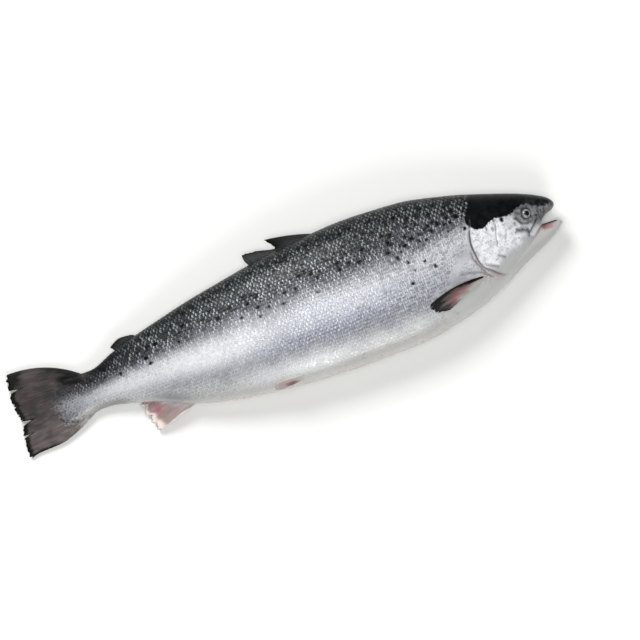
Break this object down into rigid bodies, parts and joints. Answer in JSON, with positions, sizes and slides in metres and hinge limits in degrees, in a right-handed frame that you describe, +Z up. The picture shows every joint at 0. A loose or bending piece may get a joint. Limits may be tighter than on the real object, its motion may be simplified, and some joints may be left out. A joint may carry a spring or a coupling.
{
  "type": "whole salmon",
  "caption": "Whole raw Atlantic salmon lying on its left flank, right flank up, with a slightly open mouth, a forked tail fin with a worn edge and its fins folded back.",
  "frame": {"origin": "on the surface that the fish lies on, under the middle of its bounding box", "axes": "+X along the fish to its snout, +Y to its back, +Z up out of its right flank"},
  "size_m": [0.7108, 0.186, 0.078],
  "materials": {
    "skin": "wet, glossy, silver scales with a dark back",
    "eye": "wet, clear, silver iris with a black pupil"
  },
  "bodies": {
    "root": {"salmon": "skin", "eye_right": "eye", "eye_left": "eye"}
  },
  "joints": []
}
